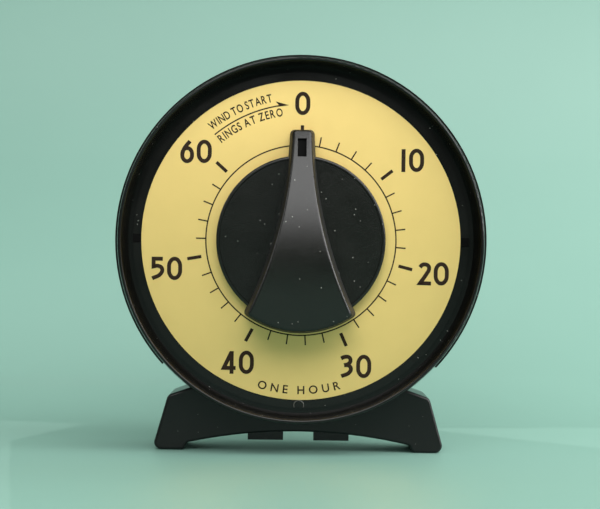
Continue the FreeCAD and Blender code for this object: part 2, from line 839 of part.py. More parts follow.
def plate_pillars():
    body = new_body("plate_pillars")
    x = f"pillar_circle * {cosine('pillar_angle')}"
    y = f"pillar_circle * {sine('pillar_angle')}"
    spans = [(inner_rear, inner_front, "pillar_radius"),
             (f"({plate_back} - nut_height)", plate_front, "pillar_tenon")]
    parts = [pad(body, draw(body, "XY_Plane", circles=[(x, y, radius)], lift=back), f"{front} - {back}")
             for back, front, radius in spans]
    repeat(body, parts, "screw_count")
    return seat(body)


def pillar_nuts():
    body = new_body("pillar_nuts")
    x = f"pillar_circle * {cosine('pillar_angle')}"
    y = f"pillar_circle * {sine('pillar_angle')}"
    rings = [(x, y, "nut_radius"), (x, y, "pillar_tenon + screw_gap")]
    nut = pad(body, draw(body, "XY_Plane", circles=rings, lift=f"{plate_back} - nut_height"), "nut_height")
    repeat(body, [nut], "screw_count")
    return seat(body)


# Main arbor, mainspring and what rides on them


def dial_bush():
    return turned("dial_bush", [
        ("arbor_radius + pivot_gap", f"{floor_back} - bush_flange_height"),
        ("bush_flange_radius", f"{floor_back} - bush_flange_height"),
        ("bush_flange_radius", floor_back),
        ("bush_radius", floor_back),
        ("bush_radius", "0"),
        ("arbor_radius + pivot_gap", "0"),
    ])


arbor_front = "(knob_lift + bore_depth - pivot_end)"


def main_arbor():
    body = new_body("main_arbor")
    revolve(body, [
        ("0", f"{plate_back} - arbor_tail"),
        ("arbor_pivot_radius", f"{plate_back} - arbor_tail"),
        ("arbor_pivot_radius", inner_rear),
        ("arbor_radius", inner_rear),
        ("arbor_radius", arbor_front),
        ("0", arbor_front),
    ])
    flat = "(arbor_radius - flat_depth)"
    chip = [("-arbor_radius", flat), ("arbor_radius", flat),
            ("arbor_radius", "arbor_radius"), ("-arbor_radius", "arbor_radius")]
    cut_front(body, draw(body, "XY_Plane", [chip], lift="knob_lift"), "bore_depth")
    return seat(body)


def arbor_collar():
    front = f"({inner_front} - rub_gap)"
    return washer("arbor_collar", "arbor_radius", "arbor_collar_radius", f"{front} - collar_height", front)


def spring_barrel():
    """The fixed cup, riveted to the rear plate, that the mainspring works in."""
    inner = "(barrel_radius - barrel_wall)"
    return turned("spring_barrel", [
        ("arbor_radius + barrel_bore_gap", inner_rear),
        ("barrel_radius", inner_rear),
        ("barrel_radius", f"{inner_rear} + barrel_height"),
        (inner, f"{inner_rear} + barrel_height"),
        (inner, f"{inner_rear} + barrel_wall"),
        ("arbor_radius + barrel_bore_gap", f"{inner_rear} + barrel_wall"),
    ])


def spiral_edges(radius, turns, pitch):
    """Half circles about two centres in turn, each wider than the last, that wind a spiral."""
    edges = []
    for half in range(2 * turns):
        centre = Vector(0 if half % 2 == 0 else pitch / 2, 0, 0)
        reach = radius + half * pitch / 2
        start = math.pi * (half % 2)
        points = [centre + reach * Vector(math.cos(start + a), math.sin(start + a), 0)
                  for a in (0, math.pi / 2, math.pi)]
        edges.append(Part.Arc(*points).toShape())
    return edges


def mainspring():
    inner = value("arbor_radius + spring_start")
    turns = int(value("spring_turns"))
    pitch = value("spring_pitch")
    strip = value("spring_strip")
    inside = spiral_edges(inner, turns, pitch)
    outside = spiral_edges(inner + strip, turns, pitch)
    ends = [Part.LineSegment(inside[0].valueAt(inside[0].FirstParameter),
                             outside[0].valueAt(outside[0].FirstParameter)).toShape(),
            Part.LineSegment(inside[-1].valueAt(inside[-1].LastParameter),
                             outside[-1].valueAt(outside[-1].LastParameter)).toShape()]
    face = Part.Face(Part.Wire(Part.__sortEdges__(inside + ends[1:] + outside[::-1] + ends[:1])))
    if face.normalAt(0, 0).z < 0:
        face.reverse()
    back = value(f"{inner_rear} + barrel_wall + rub_gap")
    return part_piece("mainspring", slab(face, back, back + value("spring_height")))


# Toothed pieces. Teeth are cut for a 20 degree pressure angle, with short tips, a
# pinion widened and its wheel thinned by the same shift, and play between flanks.

PRESSURE = math.radians(20)
ADDENDUM = 0.8
ROOT_CLEARANCE = 0.25
PINION_SHIFT = 0.3
PLAY = 0.12


def involute_angle(angle):
    return math.tan(angle) - angle


def polar(radius, angle):
    return Vector(radius * math.cos(angle), radius * math.sin(angle), 0)


def arc_edge(radius, start, end):
    return Part.Arc(polar(radius, start), polar(radius, (start + end) / 2), polar(radius, end)).toShape()


def line_edge(start, end):
    return Part.LineSegment(start, end).toShape()


def gear_face(teeth, module, shift):
    """A gear's outline with the middle of one tooth on the x axis."""
    pitch = module * teeth / 2
    base = pitch * math.cos(PRESSURE)
    tip = pitch + module * (ADDENDUM + shift)
    root = pitch - module * (ADDENDUM + ROOT_CLEARANCE - shift)
    thickness = module * (math.pi / 2 + 2 * shift * math.tan(PRESSURE) - PLAY)
    half_pitch = thickness / (2 * pitch)
    low = max(root, base)

    def half_angle(radius):
        return half_pitch + involute_angle(PRESSURE) - involute_angle(math.acos(min(base / radius, 1)))

    edges = []
    step = 2 * math.pi / teeth
    radii = [low, (low + tip) / 2, tip]
    for tooth in range(teeth):
        middle = tooth * step
        rise = [polar(radius, middle - half_angle(radius)) for radius in radii]
        fall = [polar(radius, middle + half_angle(radius)) for radius in reversed(radii)]
        foot = half_angle(low)
        if root < low:
            edges.append(line_edge(polar(root, middle - foot), rise[0]))
        edges.append(Part.Arc(*rise).toShape())
        edges.append(arc_edge(tip, middle - half_angle(tip), middle + half_angle(tip)))
        edges.append(Part.Arc(*fall).toShape())
        if root < low:
            edges.append(line_edge(fall[-1], polar(root, middle + foot)))
        edges.append(arc_edge(root, middle + foot, middle + step - foot))
    return Part.Face(Part.Wire(edges))


def saw_face(points, tip, root, lead=0.0):
    """A ratchet, star or escape wheel: each tooth's steep side starts lead of a pitch before its tip."""
    step = 2 * math.pi / points
    corners = []
    for tooth in range(points):
        corners.append(polar(root, tooth * step - lead * step))
        corners.append(polar(tip, tooth * step))
        corners.append(polar(tip, tooth * step + value("tooth_flat") * step))
    corners.append(corners[0])
    return Part.Face(Part.makePolygon(corners))


def slab(face, back, front):
    """A flat outline made solid between two depths."""
    outline = face.copy()
    outline.translate(Vector(0, 0, back))
    return outline.extrude(Vector(0, 0, front - back))


def rod(radius, back, front, x=0.0, y=0.0):
    return Part.makeCylinder(radius, front - back, Vector(x, y, back))


def bar(start, end, width, back, front):
    """A straight flat arm with round ends between two points."""
    run = end - start
    box = Part.makeBox(run.Length, width, front - back, Vector(0, -width / 2, 0))
    box.rotate(Vector(), Vector(0, 0, 1), math.degrees(math.atan2(run.y, run.x)))
    box.translate(Vector(start.x, start.y, back))
    ends = [rod(width / 2, back, front, point.x, point.y) for point in (start, end)]
    return box.fuse(ends).removeSplitter()


def spoked(solid, hub, rim, back, front):
    """Windows cut through a wheel, between its hub and rim, leaving spokes."""
    ring = rod(rim, back, front).cut(rod(hub, back, front))
    count = int(value("spoke_count"))
    width = value("spoke_width")
    for spoke in range(count):
        arm = Part.makeBox(rim, width, front - back, Vector(0, -width / 2, back))
        arm.rotate(Vector(), Vector(0, 0, 1), 360 * spoke / count)
        ring = ring.cut(arm)
    return solid.cut(ring)


def train_wheel(label, teeth, module, front_text, bore_text, x, y, turn, windows=True):
    count, size = int(value(teeth)), value(module)
    front = value(front_text)
    back = front - value("wheel_thickness")
    solid = slab(gear_face(count, size, -PINION_SHIFT), back, front)
    solid = solid.cut(rod(value(bore_text), back, front))
    if windows:
        hub = value("train_arbor_radius + hub_width")
        solid = spoked(solid, hub, size * count / 2 - value("rim_width"), back, front)
    return part_piece(label, solid, x, y, turn)


def pinion_arbor(label, module, driver_front, x, y, turn):
    """A steel arbor with pivots at both ends and leaves where its driving wheel runs."""
    leaves = gear_face(int(value("pinion_leaves")), value(module), PINION_SHIFT)
    front = value(f"{driver_front} + pinion_overhang")
    back = value(f"{driver_front} - wheel_thickness - pinion_overhang")
    solid = slab(leaves, back, front)
    ends = value("pivot_gap")
    shaft = rod(value("train_arbor_radius"), value(inner_rear) + ends, value(inner_front) - ends)
    past = value("pivot_end")
    pivots = rod(value("train_pivot_radius"), value(plate_back) - past, value(plate_front) + past)
    return part_piece(label, solid.fuse([shaft, pivots]).removeSplitter(), x, y, turn)


second_front = f"({inner_front} - second_level)"
third_front = f"({inner_front} - third_level)"
escape_front = f"({inner_front} - escape_level)"
half_leaf = "(180 + 180 / pinion_leaves)"


def train():
    """Great wheel to escape wheel: each wheel has a tooth, and its pinion a gap, on their line of centres."""
    great = train_wheel("great_wheel", "great_teeth", "great_module", great_front, "arbor_radius", "0", "0",
                        "second_angle", windows=False)
    return [
        great,
        pinion_arbor("second_pinion", "great_module", great_front, second_x, second_y,
                     f"second_angle + {half_leaf}"),
        train_wheel("second_wheel", "second_teeth", "second_module", second_front, "train_arbor_radius",
                    second_x, second_y, "third_angle"),
        pinion_arbor("third_pinion", "second_module", second_front, third_x, third_y,
                     f"third_angle + {half_leaf}"),
        train_wheel("third_wheel", "third_teeth", "third_module", third_front, "train_arbor_radius",
                    third_x, third_y, "escape_angle"),
        pinion_arbor("escape_pinion", "third_module", third_front, escape_x, escape_y,
                     f"escape_angle + {half_leaf}"),
        escape_wheel(),
    ]


def escape_wheel():
    front = value(escape_front)
    back = front - value("wheel_thickness")
    tip = value("escape_radius")
    face = saw_face(int(value("escape_points")), tip, tip - value("escape_tooth"), value("escape_lead"))
    solid = slab(face, back, front).cut(rod(value("train_arbor_radius"), back, front))
    return part_piece("escape_wheel", solid, escape_x, escape_y)


def saw_piece(label, points, tip, depth, back, front, bore, turn):
    face = saw_face(int(value(points)), value(tip), value(f"{tip} - {depth}"))
    solid = slab(face.mirror(Vector(), Vector(0, 1, 0)), value(back), value(front))
    solid = solid.cut(rod(value(bore), value(back), value(front)))
    return part_piece(label, solid, "0", "0", turn)


nose_angle = "(click_angle - click_offset)"


def ratchet_wheel():
    lead = f"({math.degrees(1)} * (click_nose + tooth_gap) / (ratchet_radius - tooth_gap))"
    return saw_piece("ratchet_wheel", "ratchet_teeth", "ratchet_radius", "ratchet_tooth", ratchet_back,
                     great_back, "arbor_radius", f"{nose_angle} - {lead}")


def ring_star():
    return saw_piece("ring_star", "star_points", "star_radius", "star_tooth", great_front, star_front,
                     "arbor_radius", "0")


click_x = f"(click_circle * {cosine('click_angle')})"
click_y = f"(click_circle * {sine('click_angle')})"
nose_reach = "(ratchet_radius - ratchet_tooth + click_nose + 2 * tooth_gap)"
nose_x = f"({nose_reach} * {cosine(nose_angle)})"
nose_y = f"({nose_reach} * {sine(nose_angle)})"


def click():
    """The pawl on the great wheel whose nose rests in the ratchet's teeth."""
    back, front = value(ratchet_back), value(f"{great_back} - rub_gap")
    stud = Vector(value(click_x), value(click_y), 0)
    nose = Vector(value(nose_x), value(nose_y), 0)
    elbow = nose * (value("ratchet_radius + 2 * click_nose + tooth_gap") / nose.Length)
    arm = bar(stud, elbow, 2 * value("click_nose"), back, front).fuse(
        bar(elbow, nose, 2 * value("click_nose"), back, front))
    eye = rod(value("click_stud_radius + click_eye"), back, front, stud.x, stud.y)
    hole = rod(value("click_stud_radius + pivot_gap"), back, front, stud.x, stud.y)
    return part_piece("click", arm.fuse(eye).cut(hole))


def click_stud():
    return stepped("click_stud", [
        ("0", f"({ratchet_back} - stud_head_height)"),
        ("click_stud_radius + stud_head_width", f"({ratchet_back} - rub_gap)"),
        ("click_stud_radius", great_back),
    ], click_x, click_y)


# Escapement


def verge_arbor():
    ends = value("pivot_gap")
    shaft = rod(value("train_arbor_radius"), value(inner_rear) + ends, value(inner_front) - ends)
    past = value("pivot_end")
    pivots = rod(value("train_pivot_radius"), value(plate_back) - past, value(plate_front) + past)
    return part_piece("verge_arbor", shaft.fuse(pivots).removeSplitter(), verge_x, verge_y)


def pallet_lever():
    """The two-armed lever that rocks on the escape wheel's points."""
    front = value(escape_front)
    back = front - value("wheel_thickness")
    width = value("verge_arm")
    reach = value("escape_radius + verge_clearance + verge_arm / 2")
    spread = math.radians(value("pallet_spread"))
    centre = Vector(-value("verge_distance"), 0, 0)
    arms = [bar(Vector(), centre + polar(reach, side * spread), width, back, front) for side in (1, -1)]
    hub = rod(width, back, front)
    solid = hub.fuse(arms).cut(rod(value("train_arbor_radius"), back, front))
    return part_piece("pallet_lever", solid, verge_x, verge_y, "verge_angle")


def inertia_bar():
    front = f"({inner_front} - inertia_level)"
    return lever("inertia_bar", "inertia_half", "inertia_width", f"{front} - wheel_thickness",
                 "wheel_thickness", "train_arbor_radius", verge_x, verge_y, "verge_angle + inertia_turn",
                 tail="inertia_half")


# Bell, hammer and the lever that lets it strike


def bell():
    rim = f"({plate_back} - bell_lift)"
    crown_wall = f"({bell_back} + bell_wall)"
    crown = "(bell_radius * bell_crown_share)"
    curve = "(bell_radius * bell_curve_share)"
    return turned("bell", [
        ("pillar_tenon + screw_gap", bell_back),
        (crown, bell_back, curve, "right"),
        ("bell_radius", rim),
        ("bell_radius - bell_wall", rim, f"{curve} - bell_wall", "left"),
        (crown, crown_wall),
        ("pillar_tenon + screw_gap", crown_wall),
    ], "0", "-bell_drop")


def bell_post():
    return stepped("bell_post", [
        ("0", f"({bell_back} - nut_height)"),
        ("pillar_tenon", f"({bell_back} + bell_wall)"),
        ("bell_post_radius", plate_back),
        ("pillar_tenon", inner_rear),
    ], "0", "-bell_drop")


def bell_nut():
    return washer("bell_nut", "pillar_tenon + screw_gap", "nut_radius", f"{bell_back} - nut_height",
                  bell_back, "0", "-bell_drop")


arm_front = f"({plate_back} - arm_gap)"
arm_back = f"({arm_front} - lever_thickness)"
head_x = f"((bell_radius + hammer_gap + hammer_head_radius) * {cosine('hammer_head_angle')})"
head_y = (f"((bell_radius + hammer_gap + hammer_head_radius) * {sine('hammer_head_angle')}"
          " - bell_drop)")


def angle_of(x, y):
    """The direction, in degrees, of the run whose two lengths are given."""
    return f"{math.degrees(math.atan2(value(y), value(x)))}"


def length_of(x, y):
    return f"sqrt(({x}) ^ 2 + ({y}) ^ 2)"


def hammer_arbor():
    return stepped("hammer_arbor", [
        ("0", arm_back),
        ("train_arbor_radius", f"({inner_front} - pivot_gap)"),
        ("train_pivot_radius", f"({plate_front} + pivot_end)"),
    ], "hammer_x", "hammer_y")


def hammer_arm():
    x, y = f"{head_x} - hammer_x", f"{head_y} - hammer_y"
    return lever("hammer_arm", length_of(x, y), "lever_width", arm_back, "lever_thickness",
                 "train_arbor_radius", "hammer_x", "hammer_y", angle_of(x, y))


def hammer_head():
    return washer("hammer_head", "0", "hammer_head_radius", f"{arm_back} - bell_depth / 2", arm_back,
                  head_x, head_y)


def hammer_tail():
    reach = f"({length_of('hammer_x', 'hammer_y')} - star_radius - lever_width / 2 - tail_gap)"
    turn = angle_of("-hammer_x", "-hammer_y")
    return lever("hammer_tail", reach, "lever_width", f"{great_front} + tail_lift", "lever_thickness",
                 "train_arbor_radius", "hammer_x", "hammer_y", f"{turn} - tail_turn")


def hammer_spring():
    """The close-wound spring round the hammer's arbor, drawn as its outer sleeve."""
    back = f"({inner_rear} + pivot_end)"
    inner = "(train_arbor_radius + coil_gap)"
    return washer("hammer_spring", inner, f"{inner} + coil_width", back, f"{back} + coil_length",
                  "hammer_x", "hammer_y")


trip_front = f"({inner_front} - trip_level)"
trip_back = f"({trip_front} - wheel_thickness)"


def trip_cam():
    """The disc that holds the bell's lever off until its notch comes round at zero."""
    back, front = value(trip_back), value(trip_front)
    radius, notch = value("trip_radius"), value("trip_notch")
    disc = rod(radius, back, front).cut(rod(value("arbor_radius"), back, front))
    width = value("lever_width + trip_slack")
    gap = Part.makeBox(width, notch + 1, front - back, Vector(-width / 2, -radius - 1, back))
    return part_piece("trip_cam", disc.cut(gap))


def trip_lever():
    back, front = value(trip_back), value(trip_front)
    width = value("trip_width")
    stud = Vector(value("trip_stud_x"), value("trip_stud_y"), 0)
    nose = Vector(0, -value("trip_radius + trip_gap") - width / 2, 0) - stud
    elbow = nose - Vector(0, value("trip_elbow"), 0)
    arms = [bar(Vector(), elbow, width, back, front), bar(elbow, nose, width, back, front)]
    eye = rod(value("pillar_radius + trip_eye"), back, front)
    hole = rod(value("pillar_tenon + pivot_gap"), back, front)
    solid = eye.fuse(arms).cut(hole).removeSplitter()
    return part_piece("trip_lever", solid, "trip_stud_x", "trip_stud_y")


def trip_stud():
    return stepped("trip_stud", [
        ("0", f"({trip_back} - stud_head_height)"),
        ("pillar_radius", f"({trip_back} - rub_gap)"),
        ("pillar_tenon", plate_front),
    ], "trip_stud_x", "trip_stud_y")


def build():
    pieces = [
        front_shell(), dial_plate(), rear_cover(), stand(), knob(), cover_screws(), movement_screws(),
        front_plate(), rear_plate(), plate_pillars(), pillar_nuts(), dial_bush(), main_arbor(),
        arbor_collar(), spring_barrel(), mainspring(), *train(), ratchet_wheel(), ring_star(), click(),
        click_stud(), verge_arbor(), pallet_lever(), inertia_bar(), bell(), bell_post(), bell_nut(),
        hammer_arbor(), hammer_arm(), hammer_head(), hammer_tail(), hammer_spring(), trip_cam(),
        trip_lever(), trip_stud(),
    ]
    doc.recompute()
    for item in doc.Objects:
        if "Invalid" in item.State or "Error" in item.State:
            raise ValueError(f"{item.Label} did not recompute")
    for piece in pieces:
        if piece.Shape.isNull() or not piece.Shape.isValid() or not piece.Shape.Solids:
            raise ValueError(f"{piece.Label} has no sound shape")
    os.makedirs("parts", exist_ok=True)
    for piece in pieces:
        piece.Shape.exportStep(f"parts/{piece.Label}.step")
    print(len(pieces), "pieces")


build()
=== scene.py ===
import json
import math

import bpy
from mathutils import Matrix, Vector


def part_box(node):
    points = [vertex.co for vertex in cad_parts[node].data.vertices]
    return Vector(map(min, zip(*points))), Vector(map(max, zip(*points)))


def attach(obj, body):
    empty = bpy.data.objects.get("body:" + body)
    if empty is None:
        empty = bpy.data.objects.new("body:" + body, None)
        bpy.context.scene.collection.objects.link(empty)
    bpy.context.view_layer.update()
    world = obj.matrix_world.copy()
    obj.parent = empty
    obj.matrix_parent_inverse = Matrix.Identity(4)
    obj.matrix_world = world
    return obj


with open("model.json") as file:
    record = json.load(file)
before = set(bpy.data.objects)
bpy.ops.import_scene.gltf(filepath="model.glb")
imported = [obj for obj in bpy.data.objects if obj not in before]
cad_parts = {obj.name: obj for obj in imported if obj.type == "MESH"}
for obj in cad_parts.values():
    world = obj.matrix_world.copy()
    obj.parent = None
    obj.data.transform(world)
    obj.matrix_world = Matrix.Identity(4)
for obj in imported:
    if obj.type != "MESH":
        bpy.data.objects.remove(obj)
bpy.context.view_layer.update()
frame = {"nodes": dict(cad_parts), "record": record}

MM = 0.001
nodes = frame["nodes"]

# The dial's face and its middle, read from the frame
dial_low, dial_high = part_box("dial_plate")
DIAL_Y = dial_low.y
DIAL_Z = (dial_low.z + dial_high.z) / 2
INK_HEIGHT = 0.03 * MM
# Where two films of ink cross, the upper one is this share higher
LAYER_STEP = 0.4


# Selecting and finishing in edit mode


def deselect():
    if bpy.context.object and bpy.context.object.mode == "EDIT":
        bpy.ops.object.mode_set(mode="OBJECT")
    bpy.ops.object.select_all(action="DESELECT")


def pick(obj):
    deselect()
    obj.select_set(True)
    bpy.context.view_layer.objects.active = obj


def place(obj):
    """Put the object's place, turn and scale into its mesh."""
    pick(obj)
    bpy.ops.object.transform_apply(location=True, rotation=True, scale=True)


def joined(objects, name):
    """One object made of several, at the origin."""
    deselect()
    for obj in objects:
        obj.select_set(True)
    bpy.context.view_layer.objects.active = objects[0]
    bpy.ops.object.join()
    whole = bpy.context.object
    whole.name = whole.data.name = name
    place(whole)
    return whole


def outward(obj):
    """Merge doubles and turn every face outwards."""
    pick(obj)
    bpy.ops.object.mode_set(mode="EDIT")
    bpy.ops.mesh.select_all(action="SELECT")
    bpy.ops.mesh.remove_doubles(threshold=0.000001)
    bpy.ops.mesh.normals_make_consistent(inside=False)
    bpy.ops.object.mode_set(mode="OBJECT")


def on_dial(x, y):
    """A place on the dial's face, from millimetres right of and above its middle."""
    return Vector((x * MM, DIAL_Y, DIAL_Z + y * MM))


# Printing on the dial: a thin film of ink with real edges


def ink_from_outline(obj, lift=INK_HEIGHT):
    """Raise a flat filled outline that lies on the dial into a film of ink."""
    pick(obj)
    bpy.ops.object.mode_set(mode="EDIT")
    bpy.ops.mesh.select_all(action="SELECT")
    bpy.ops.mesh.extrude_region_move(TRANSFORM_OT_translate={"value": (0, -lift, 0)})
    bpy.ops.object.mode_set(mode="OBJECT")
    outward(obj)
    return obj


def ink_bar(length, width, x, y, angle):
    """A tick whose length runs along the angle, measured clockwise from straight up."""
    bpy.ops.mesh.primitive_plane_add(size=1, location=(0, 0, 0), rotation=(math.pi / 2, 0, 0))
    bar = bpy.context.object
    bar.scale = (width * MM, length * MM, 1)
    place(bar)
    bar.rotation_euler = (0, math.radians(angle), 0)
    bar.location = on_dial(x, y)
    place(bar)
    pick(bar)
    bpy.ops.object.mode_set(mode="EDIT")
    bpy.ops.mesh.select_all(action="SELECT")
    bpy.ops.mesh.bevel(offset=width * 0.12 * MM, segments=2, affect="VERTICES")
    bpy.ops.object.mode_set(mode="OBJECT")
    return ink_from_outline(bar)


def ink_ring(radius, width, start=0.0, sweep=360.0):
    """A printed circle or arc about the dial's middle; angles run clockwise from straight up."""
    bpy.ops.mesh.primitive_plane_add(size=1, location=(0, 0, 0), rotation=(math.pi / 2, 0, 0))
    seed = bpy.context.object
    seed.scale = (width * MM, 1, 1)
    place(seed)
    pick(seed)
    bpy.ops.object.mode_set(mode="EDIT")
    bpy.ops.mesh.select_all(action="SELECT")
    bpy.ops.mesh.merge(type="CENTER")
    bpy.ops.mesh.extrude_region_move(TRANSFORM_OT_translate={"value": (0, 0, width * MM)})
    bpy.ops.mesh.select_all(action="SELECT")
    middle = radius * MM
    bpy.ops.transform.translate(value=(0, 0, middle - width * MM / 2))
    bpy.ops.transform.rotate(value=math.radians(-start), orient_axis="Y", center_override=(0, 0, 0))
    steps = max(12, int(sweep / 1.5))
    bpy.ops.mesh.spin(steps=steps, angle=math.radians(-sweep), center=(0, 0, 0), axis=(0, 1, 0))
    bpy.ops.mesh.select_all(action="SELECT")
    bpy.ops.mesh.remove_doubles(threshold=0.000001)
    bpy.ops.object.mode_set(mode="OBJECT")
    seed.location = on_dial(0, 0)
    place(seed)
    return ink_from_outline(seed)


def ink_stroke(points, width, x, y, closed=False, lift=INK_HEIGHT):
    """A line of even width through points in millimetres; a third value of False makes a sharp corner."""
    bpy.ops.curve.primitive_bezier_curve_add(location=(0, 0, 0))
    line = bpy.context.object
    spline = line.data.splines[0]
    line.data.dimensions = "3D"
    line.data.resolution_u = 10
    spline.bezier_points.add(len(points) - 2)
    spline.use_cyclic_u = closed
    for knot, point in zip(spline.bezier_points, points):
        knot.co = (point[0] * MM, 0, point[1] * MM)
        smooth = len(point) < 3 or point[2]
        knot.handle_left_type = knot.handle_right_type = "AUTO" if smooth else "VECTOR"
    pick(line)
    bpy.ops.object.convert(target="MESH")
    line = bpy.context.object
    bpy.ops.object.mode_set(mode="EDIT")
    bpy.ops.mesh.select_all(action="SELECT")
    bpy.ops.mesh.remove_doubles(threshold=0.00001)
    bpy.ops.mesh.extrude_region_move(TRANSFORM_OT_translate={"value": (0, -lift, 0)})
    bpy.ops.object.mode_set(mode="OBJECT")
    wall = line.modifiers.new("stroke", "SOLIDIFY")
    wall.thickness = width * MM
    wall.offset = 0
    wall.use_even_offset = True
    bpy.ops.object.modifier_apply(modifier=wall.name)
    line.location = on_dial(x, y)
    place(line)
    outward(line)
    return line


# Numerals, drawn as the strokes of a pen, in millimetres about each one's middle
STROKE = 1.12
ZERO = [
    (0, 2.72), (1.13, 2.05), (1.57, 0), (1.13, -2.05),
    (0, -2.72), (-1.13, -2.05), (-1.57, 0), (-1.13, 2.05),
]
GLYPHS = {
    "0": [(ZERO, True)],
    "1": [([(0.0, 3.2, False), (0.0, -3.25, False)], False)],
    "2": [([(-1.3, 1.85), (-0.75, 2.5), (0.25, 2.68), (1.1, 2.2), (1.2, 1.2), (0.6, 0.1),
            (-1.25, -2.6, False), (1.85, -2.68, False)], False)],
    "3": [([(-1.5, 2.25), (-0.5, 2.7), (0.8, 2.55), (1.15, 1.7), (0.7, 0.85), (-0.6, 0.35, False)], False),
          ([(-0.6, 0.35, False), (0.6, 0.3), (1.3, -0.6), (0.75, -1.75), (-1.4, -2.75)], False)],
    "4": [([(0.65, 3.2, False), (0.65, -3.2, False)], False),
          ([(0.55, 2.9, False), (-1.55, -1.55, False), (1.8, -1.55, False)], False)],
    "5": [([(1.45, 2.75, False), (-1.15, 2.75, False), (-1.15, 0.55, False), (0.2, 0.75), (1.25, 0.0),
            (0.9, -1.45), (-1.5, -2.8)], False)],
    "6": [([(0, 0.95), (0.98, 0.45), (1.37, -0.88), (0.98, -2.2), (0, -2.72), (-0.98, -2.2), (-1.37, -0.88),
            (-0.98, 0.45)], True),
          ([(-1.35, -0.7), (-1.0, 0.55), (0.75, 2.95)], False)],
}
# Each number of minutes, and where the middles of its figures are on the dial
NUMERALS = {
    0: [("0", -0.0, 38.6)],
    10: [("1", 28.6, 22.9), ("0", 32.3, 23.0)],
    20: [("2", 35.0, -9.0), ("0", 39.7, -8.9)],
    30: [("3", 13.3, -35.4), ("0", 18.2, -35.3)],
    40: [("4", -19.7, -34.7), ("0", -14.9, -34.6)],
    50: [("5", -40.3, -8.5), ("0", -35.5, -8.4)],
    60: [("6", -32.4, 24.6), ("0", -27.6, 24.7)],
}
DEGREES_A_MINUTE = 5.2
SCALE_RADIUS = 26.8
LINE_WIDTH = 0.37
THIN_TICK = (2.8, 0.38)
THICK_TICK = (4.0, 0.93)
THICK_TICK_MIDDLE = 30.45


def dial_scale():
    """The printed circle and its ticks, one for each two minutes."""
    marks = [ink_ring(SCALE_RADIUS, LINE_WIDTH)]
    for minute in range(0, 61, 2):
        angle = minute * DEGREES_A_MINUTE
        long = minute % 10 == 0
        length, width = THICK_TICK if long else THIN_TICK
        middle = THICK_TICK_MIDDLE if long else SCALE_RADIUS + length / 2
        x = middle * math.sin(math.radians(angle))
        y = middle * math.cos(math.radians(angle))
        marks.append(ink_bar(length, width, x, y, angle))
    return joined(marks, "printed_scale")


def dial_numbers():
    """The numbers of minutes, figure by figure."""
    strokes = []
    for figures in NUMERALS.values():
        for figure, x, y in figures:
            for layer, (path, closed) in enumerate(GLYPHS[figure]):
                strokes.append(ink_stroke(path, STROKE, x, y, closed, INK_HEIGHT * (1 + LAYER_STEP * layer)))
    return joined(strokes, "printed_numbers")


ARROW_RADIUS = 38.45
ARROW_START = -40.0
ARROW_END = -10.0
# The arrowhead's corners, as an angle from straight up and a distance from the middle
BARB = [(-11.1, 39.8), (-5.8, 38.25), (-10.9, 38.22), (-10.1, 38.7)]


def round_dial(angle, radius):
    """Right of and above the dial's middle, for an angle clockwise from straight up."""
    return radius * math.sin(math.radians(angle)), radius * math.cos(math.radians(angle))


def dial_arrow():
    """The curved arrow that shows which way to wind."""
    line = ink_ring(ARROW_RADIUS, LINE_WIDTH, ARROW_START, ARROW_END - ARROW_START)
    bpy.ops.mesh.primitive_circle_add(
        vertices=len(BARB), radius=MM, fill_type="NGON", rotation=(math.pi / 2, 0, 0)
    )
    head = bpy.context.object
    place(head)
    for vertex, (angle, radius) in zip(head.data.vertices, BARB):
        vertex.co = on_dial(*round_dial(angle, radius))
    return joined([line, ink_from_outline(head, INK_HEIGHT * (1 + LAYER_STEP))], "printed_arrow")


CAP_HEIGHT = 2.05
CAP_SHARE = 0.63
WORD_SPACE = 0.2


def dial_words(words, middle, radius, span, narrow, weight, feet_out=False):
    """Plain capitals set round the dial over a span in millimetres, with their feet in or out."""
    letters = []
    for letter in words:
        if letter == " ":
            letters.append((None, WORD_SPACE))
            continue
        bpy.ops.object.text_add(location=(0, 0, 0), rotation=(math.pi / 2, 0, 0))
        text = bpy.context.object
        text.data.body = letter
        text.data.size = CAP_HEIGHT / CAP_SHARE * MM
        text.data.offset = weight * MM
        text.data.align_x = "LEFT"
        text.data.resolution_u = 4
        pick(text)
        bpy.ops.object.convert(target="MESH")
        text = bpy.context.object
        text.scale = (narrow, 1, 1)
        place(text)
        across = [vertex.co.x / MM for vertex in text.data.vertices]
        text.location = (-(min(across) + max(across)) / 2 * MM, 0, -CAP_HEIGHT / 2 * MM)
        place(text)
        letters.append((text, max(across) - min(across)))
    gap = (span - sum(wide for text, wide in letters)) / (len(letters) - 1)
    along = -span / 2
    line = []
    for text, wide in letters:
        turn = math.degrees((along + wide / 2) / radius)
        along += wide + gap
        if text is None:
            continue
        angle = middle - turn if feet_out else middle + turn
        text.rotation_euler = (0, math.radians(angle + (180 if feet_out else 0)), 0)
        text.location = on_dial(*round_dial(angle, radius))
        place(text)
        line.append(ink_from_outline(text))
    return joined(line, "printed_" + words.split()[0].lower())


# The knob's index slot and the curve of the grip above it, in millimetres from the dial's middle
INDEX_WIDTH = 2.4
INDEX_FROM = 22.95
INDEX_TO = 28.05
INDEX_DEPTH = 0.9
CROWN_RADIUS = 75.0
CROWN_HEIGHT = 20.0
CROWN_MIDDLE = -8.0
PAINT_SUNK = 0.02
PAINT_THICKNESS = 0.08


